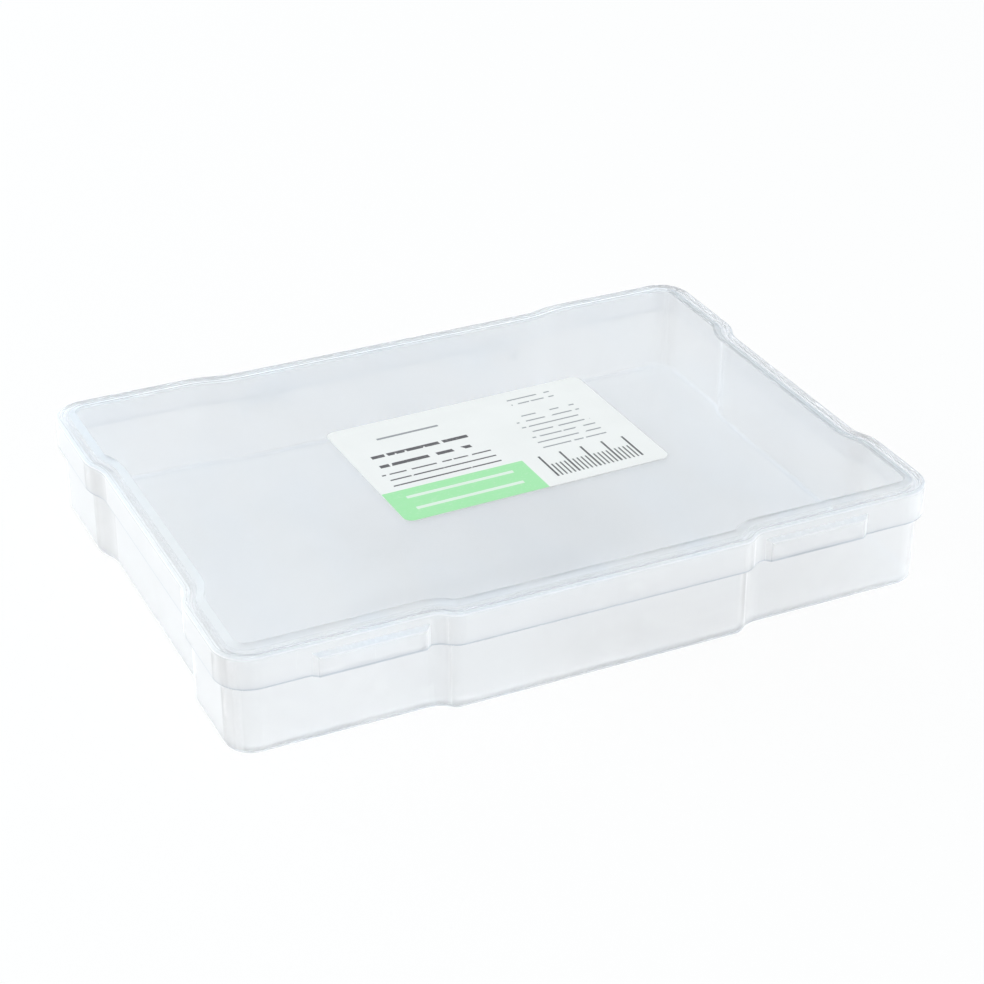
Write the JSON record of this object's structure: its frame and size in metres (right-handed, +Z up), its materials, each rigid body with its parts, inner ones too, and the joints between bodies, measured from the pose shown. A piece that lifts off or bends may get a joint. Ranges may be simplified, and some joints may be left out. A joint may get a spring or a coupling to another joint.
{
  "type": "photo keeper case",
  "caption": "Flat clear plastic box with stepped walls, a hinged lid with a skirt and latch pads, and a plain paper label with a green band on top.",
  "frame": {"origin": "centre of the tray's underside, on the surface that the case lies on", "axes": "+X along the long side to the right, seen from the latches; +Y from the latches to the hinges; +Z up"},
  "size_m": [0.195, 0.1449, 0.0297],
  "materials": {
    "clear_plastic": "gloss",
    "label_paper": "satin"
  },
  "bodies": {
    "tray": {"base_tray": "clear_plastic"},
    "lid": {"lid": "clear_plastic", "label": "label_paper"}
  },
  "joints": [
    {"name": "lid_hinge", "type": "hinge", "parent": "tray", "child": "lid", "pos_m": [0, 0.0713, 0.0175], "axis": [-1, 0, 0], "range_deg": [0, 180]}
  ]
}
